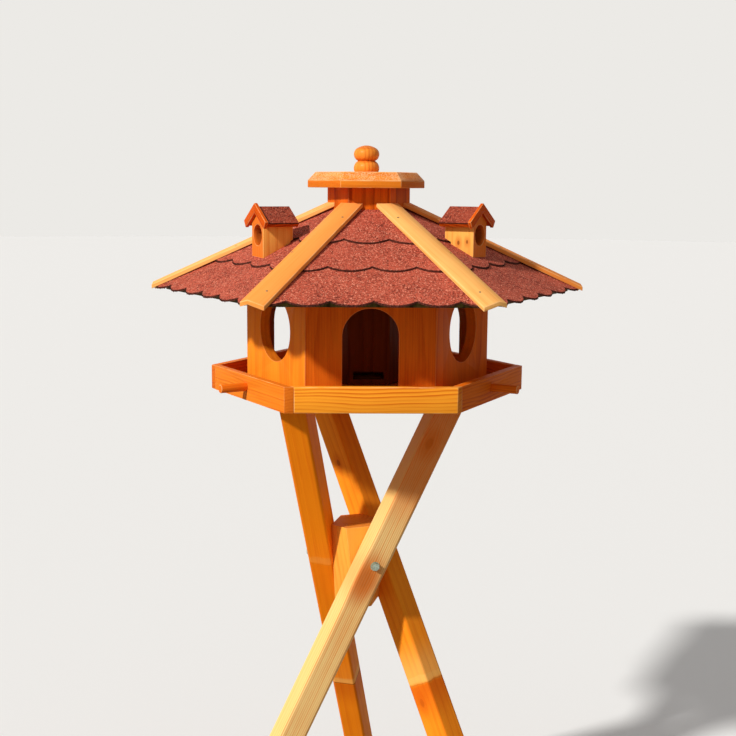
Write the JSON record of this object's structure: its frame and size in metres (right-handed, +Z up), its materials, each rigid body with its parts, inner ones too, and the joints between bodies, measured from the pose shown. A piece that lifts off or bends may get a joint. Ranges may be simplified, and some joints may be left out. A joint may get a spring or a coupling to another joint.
{
  "type": "bird feeder on a three-legged stand",
  "caption": "Hexagonal wooden bird feeder: arched feeding house on a rimmed tray, scalloped felt roof with dormers, lift-off lid over the seed silo, crossed-leg stand.",
  "frame": {"origin": "at ground level under the vertical axis through the silo and the roof's ridge point", "axes": "+Z up along the axis through the silo and knob, front arch looks along -Y, hexagon corners on +X and -X"},
  "size_m": [0.801, 0.7401, 1.453],
  "materials": {
    "glazed_wood": "orange-brown wood glaze, satin",
    "cap_wood": "lighter glaze, satin",
    "leg_wood": "light orange glaze over visible grain, satin",
    "red_felt": "red mineral granules on bitumen felt, matt",
    "zinc_steel": "zinc plated, dull"
  },
  "bodies": {
    "feeder": {"leg_front": "leg_wood", "leg_right": "leg_wood", "leg_left": "leg_wood", "hub_block": "leg_wood", "leg_bolts": "zinc_steel", "tray_floor": "glazed_wood", "rim_back_right": "glazed_wood", "wall_back_right": "glazed_wood", "roof_panel_back_right": "glazed_wood", "rim_back": "glazed_wood", "wall_back": "glazed_wood", "roof_panel_back": "glazed_wood", "rim_back_left": "glazed_wood", "wall_back_left": "glazed_wood", "roof_panel_back_left": "glazed_wood", "rim_front_left": "glazed_wood", "wall_front_left": "glazed_wood", "roof_panel_front_left": "glazed_wood", "rim_front": "glazed_wood", "wall_front": "glazed_wood", "roof_panel_front": "glazed_wood", "rim_front_right": "glazed_wood", "wall_front_right": "glazed_wood", "roof_panel_front_right": "glazed_wood", "perches": "glazed_wood", "silo_slotted_boards": "glazed_wood", "silo_plain_boards": "glazed_wood", "dormer_left": "glazed_wood", "dormer_right": "glazed_wood", "dormer_back": "glazed_wood", "dormer_roof_left": "glazed_wood", "dormer_roof_right": "glazed_wood", "dormer_roof_back": "glazed_wood", "bargeboards": "glazed_wood", "shingles_lower": "red_felt", "shingles_middle": "red_felt", "shingles_upper": "red_felt", "dormer_felts": "red_felt", "hip_caps": "cap_wood"},
    "lid": {"lid_board": "glazed_wood", "lid_knob": "glazed_wood", "lid_locator": "glazed_wood"}
  },
  "joints": [
    {"name": "lid_lift", "type": "slide", "parent": "feeder", "child": "lid", "axis": [0, 0, 1], "range_m": [0, 0.2]}
  ]
}
